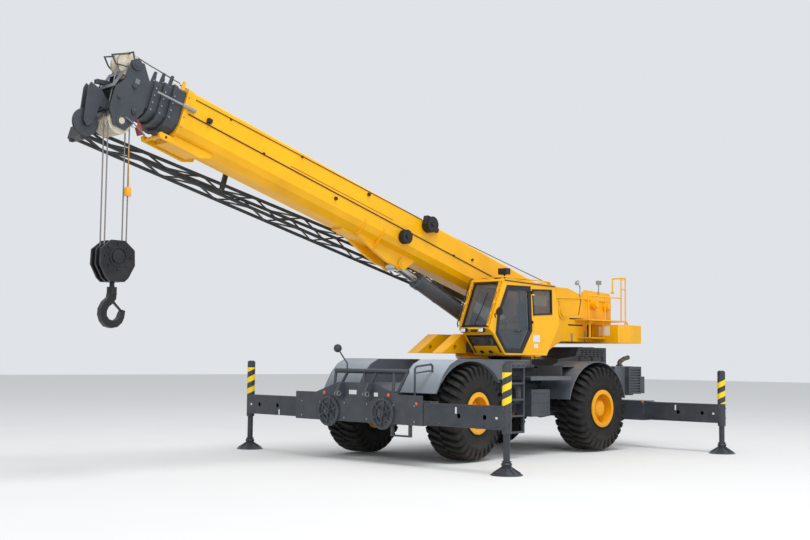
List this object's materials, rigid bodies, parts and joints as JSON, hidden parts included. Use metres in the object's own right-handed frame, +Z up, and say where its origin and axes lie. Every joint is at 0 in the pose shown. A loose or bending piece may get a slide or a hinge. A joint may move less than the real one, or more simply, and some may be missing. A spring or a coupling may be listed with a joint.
{
  "type": "rough terrain crane",
  "caption": "Two-axle rough terrain crane on outriggers, with a slewing upper, a side cab, a telescopic boom on a lift cylinder, a stowed lattice extension and a hook block.",
  "frame": {"origin": "on the ground under the axis of the slewing bearing", "axes": "+X forward, +Y to the operator's left, +Z up"},
  "size_m": [13.4984, 7.49, 6.5945],
  "materials": {
    "carrier_paint": "satin dark grey paint",
    "deck_paint": "satin grey anti-slip paint",
    "machine_yellow": "gloss yellow paint",
    "section_black": "satin black paint",
    "steel": "bare machined steel",
    "chrome_rod": "hard chrome",
    "tyre_rubber": "black rubber",
    "cab_pane": "tinted safety glass",
    "seat_trim": "black woven fabric on moulded foam",
    "sheave_nylon": "cast nylon",
    "wire_rope": "greased wire rope",
    "engine_iron": "painted cast iron"
  },
  "bodies": {
    "carrier": {"main_frame": "carrier_paint", "slew_ring": "steel", "axles": "carrier_paint", "outrigger_boxes": "carrier_paint", "decks": "deck_paint", "engine_hood": "carrier_paint", "engine_block": "engine_iron", "cooler": "carrier_paint", "side_tanks": "carrier_paint", "ladders": "carrier_paint", "boom_rest": "carrier_paint", "spare_floats": "carrier_paint"},
    "upper": {"turntable": "machine_yellow", "cab_shell": "machine_yellow", "cab_glass": "cab_pane", "operator_station": "seat_trim", "counterweight": "machine_yellow", "hoist_frame": "machine_yellow", "service_platform": "machine_yellow"},
    "main_drum": {"main_drum": "machine_yellow"},
    "auxiliary_drum": {"auxiliary_drum": "machine_yellow"},
    "cab_door": {"cab_door": "machine_yellow", "cab_door_glass": "cab_pane"},
    "boom_foot_pin": {"boom_foot_pin": "steel"},
    "lift_foot_pin": {"lift_foot_pin": "steel"},
    "boom": {"boom_base": "machine_yellow", "lattice_extension": "section_black", "boom_reels": "section_black"},
    "boom_section_2": {"boom_section_2": "section_black"},
    "boom_section_3": {"boom_section_3": "section_black"},
    "boom_section_4": {"boom_section_4": "section_black"},
    "boom_tip": {"boom_tip_section": "section_black"},
    "head_sheaves": {"head_sheaves": "sheave_nylon"},
    "idler_sheaves": {"idler_sheaves": "sheave_nylon"},
    "nose_sheave": {"nose_sheave": "sheave_nylon"},
    "lift_barrel": {"lift_barrel": "carrier_paint"},
    "lift_rod": {"lift_rod": "chrome_rod"},
    "hook_block": {"hoist_falls": "wire_rope", "hook_block": "section_black"},
    "hook": {"hook": "section_black"},
    "knuckle_front_left": {"knuckle_front_left": "carrier_paint"},
    "wheel_front_left": {"tyre_front_left": "tyre_rubber", "rim_front_left": "machine_yellow"},
    "knuckle_front_right": {"knuckle_front_right": "carrier_paint"},
    "wheel_front_right": {"tyre_front_right": "tyre_rubber", "rim_front_right": "machine_yellow"},
    "knuckle_rear_left": {"knuckle_rear_left": "carrier_paint"},
    "wheel_rear_left": {"tyre_rear_left": "tyre_rubber", "rim_rear_left": "machine_yellow"},
    "knuckle_rear_right": {"knuckle_rear_right": "carrier_paint"},
    "wheel_rear_right": {"tyre_rear_right": "tyre_rubber", "rim_rear_right": "machine_yellow"},
    "beam_front_left": {"beam_front_left": "carrier_paint"},
    "jack_front_left": {"jack_front_left": "carrier_paint"},
    "beam_front_right": {"beam_front_right": "carrier_paint"},
    "jack_front_right": {"jack_front_right": "carrier_paint"},
    "beam_rear_left": {"beam_rear_left": "carrier_paint"},
    "jack_rear_left": {"jack_rear_left": "carrier_paint"},
    "beam_rear_right": {"beam_rear_right": "carrier_paint"},
    "jack_rear_right": {"jack_rear_right": "carrier_paint"}
  },
  "joints": [
    {"name": "steer_front_left", "type": "hinge", "parent": "carrier", "child": "knuckle_front_left", "pos_m": [2.47, 1, 0.89], "axis": [0, 0, 1], "range_deg": [-27.85, 12.15]},
    {"name": "spin_front_left", "type": "hinge", "parent": "knuckle_front_left", "child": "wheel_front_left", "pos_m": [2.42903, 1.29719, 0.89], "axis": [-0.1366, 0.9906, 0], "continuous": true},
    {"name": "steer_front_right", "type": "hinge", "parent": "carrier", "child": "knuckle_front_right", "pos_m": [2.47, -1, 0.89], "axis": [0, 0, 1], "range_deg": [-27.85, 12.15]},
    {"name": "spin_front_right", "type": "hinge", "parent": "knuckle_front_right", "child": "wheel_front_right", "pos_m": [2.51097, -1.29719, 0.89], "axis": [-0.1366, 0.9906, 0], "continuous": true},
    {"name": "steer_rear_left", "type": "hinge", "parent": "carrier", "child": "knuckle_rear_left", "pos_m": [-1.571, 1, 0.89], "axis": [0, 0, 1], "range_deg": [-20, 20]},
    {"name": "spin_rear_left", "type": "hinge", "parent": "knuckle_rear_left", "child": "wheel_rear_left", "pos_m": [-1.571, 1.3, 0.89], "axis": [0, 1, 0], "continuous": true},
    {"name": "steer_rear_right", "type": "hinge", "parent": "carrier", "child": "knuckle_rear_right", "pos_m": [-1.571, -1, 0.89], "axis": [0, 0, 1], "range_deg": [-20, 20]},
    {"name": "spin_rear_right", "type": "hinge", "parent": "knuckle_rear_right", "child": "wheel_rear_right", "pos_m": [-1.571, -1.3, 0.89], "axis": [0, 1, 0], "continuous": true},
    {"name": "beam_slide_front_left", "type": "slide", "parent": "carrier", "child": "beam_front_left", "axis": [0, 1, 0], "range_m": [-1.7, 0]},
    {"name": "jack_slide_front_left", "type": "slide", "parent": "beam_front_left", "child": "jack_front_left", "axis": [0, 0, 1], "range_m": [-0.12, 0.32]},
    {"name": "beam_slide_front_right", "type": "slide", "parent": "carrier", "child": "beam_front_right", "axis": [0, -1, 0], "range_m": [-1.7, 0]},
    {"name": "jack_slide_front_right", "type": "slide", "parent": "beam_front_right", "child": "jack_front_right", "axis": [0, 0, 1], "range_m": [-0.12, 0.32]},
    {"name": "beam_slide_rear_left", "type": "slide", "parent": "carrier", "child": "beam_rear_left", "axis": [0, 1, 0], "range_m": [-1.7, 0]},
    {"name": "jack_slide_rear_left", "type": "slide", "parent": "beam_rear_left", "child": "jack_rear_left", "axis": [0, 0, 1], "range_m": [-0.12, 0.32]},
    {"name": "beam_slide_rear_right", "type": "slide", "parent": "carrier", "child": "beam_rear_right", "axis": [0, -1, 0], "range_m": [-1.7, 0]},
    {"name": "jack_slide_rear_right", "type": "slide", "parent": "beam_rear_right", "child": "jack_rear_right", "axis": [0, 0, 1], "range_m": [-0.12, 0.32]},
    {"name": "slew", "type": "hinge", "parent": "carrier", "child": "upper", "pos_m": [0, 0, 1.9], "axis": [0, 0, 1], "continuous": true},
    {"name": "main_drum_spin", "type": "hinge", "parent": "upper", "child": "main_drum", "pos_m": [-2.69, 0, 3.13], "axis": [0, 1, 0], "continuous": true},
    {"name": "auxiliary_drum_spin", "type": "hinge", "parent": "upper", "child": "auxiliary_drum", "pos_m": [-3.19, 0, 3.09], "axis": [0, 1, 0], "continuous": true},
    {"name": "cab_door_swing", "type": "hinge", "parent": "upper", "child": "cab_door", "pos_m": [0.545, 1.424, 2.66], "axis": [0, 0, 1], "range_deg": [0, 95]},
    {"name": "boom_lower", "type": "hinge", "parent": "upper", "child": "boom_foot_pin", "pos_m": [-1.519, 0, 2.931], "axis": [0, -1, 0], "range_deg": [-19, 0]},
    {"name": "boom_raise", "type": "hinge", "parent": "boom_foot_pin", "child": "boom", "pos_m": [-1.519, 0, 2.931], "axis": [0, -1, 0], "range_deg": [0, 62]},
    {"name": "barrel_lower", "type": "hinge", "parent": "upper", "child": "lift_foot_pin", "pos_m": [-0.5, 0, 2.11], "axis": [0, -1, 0], "range_deg": [-24.3, 0]},
    {"name": "barrel_raise", "type": "hinge", "parent": "lift_foot_pin", "child": "lift_barrel", "pos_m": [-0.5, 0, 2.11], "axis": [0, -1, 0], "range_deg": [0, 61]},
    {"name": "rod_extend", "type": "slide", "parent": "lift_barrel", "child": "lift_rod", "axis": [0.913, 0, 0.4079], "range_m": [0, 1.35]},
    {"name": "telescope_2", "type": "slide", "parent": "boom", "child": "boom_section_2", "axis": [0.9613, 0, 0.2756], "range_m": [0, 7.75]},
    {"name": "telescope_3", "type": "slide", "parent": "boom_section_2", "child": "boom_section_3", "axis": [0.9613, 0, 0.2756], "range_m": [0, 7.75]},
    {"name": "telescope_4", "type": "slide", "parent": "boom_section_3", "child": "boom_section_4", "axis": [0.9613, 0, 0.2756], "range_m": [0, 7.75]},
    {"name": "telescope_5", "type": "slide", "parent": "boom_section_4", "child": "boom_tip", "axis": [0.9613, 0, 0.2756], "range_m": [0, 7.75]},
    {"name": "sheaves_plumb", "type": "hinge", "parent": "boom_tip", "child": "head_sheaves", "pos_m": [9.2103, 0, 5.45726], "axis": [0, -1, 0], "range_deg": [0, 19]},
    {"name": "block_plumb", "type": "hinge", "parent": "head_sheaves", "child": "hook_block", "pos_m": [9.2103, 0, 5.45726], "axis": [0, -1, 0], "range_deg": [-62, 0]},
    {"name": "idler_spin", "type": "hinge", "parent": "boom_tip", "child": "idler_sheaves", "pos_m": [9.01436, 0, 6.39456], "axis": [0, 1, 0], "continuous": true},
    {"name": "nose_sheave_spin", "type": "hinge", "parent": "boom_tip", "child": "nose_sheave", "pos_m": [9.67848, 0, 5.39905], "axis": [0, 1, 0], "continuous": true},
    {"name": "hook_swivel", "type": "hinge", "parent": "hook_block", "child": "hook", "pos_m": [9.2103, 0.12, 2.99], "axis": [0, 0, 1], "continuous": true}
  ],
  "couplings": [
    {"joint": "steer_front_right", "follows": "steer_front_left", "ratio": 1},
    {"joint": "steer_rear_right", "follows": "steer_rear_left", "ratio": 1},
    {"joint": "barrel_lower", "follows": "boom_lower", "ratio": 1.27},
    {"joint": "barrel_raise", "follows": "boom_raise", "ratio": 0.98},
    {"joint": "rod_extend", "follows": "boom_raise", "m_per_rad": 1.244},
    {"joint": "telescope_3", "follows": "telescope_2", "ratio": 1},
    {"joint": "telescope_4", "follows": "telescope_2", "ratio": 1},
    {"joint": "telescope_5", "follows": "telescope_2", "ratio": 1},
    {"joint": "sheaves_plumb", "follows": "boom_lower", "ratio": -1},
    {"joint": "block_plumb", "follows": "boom_raise", "ratio": -1}
  ]
}
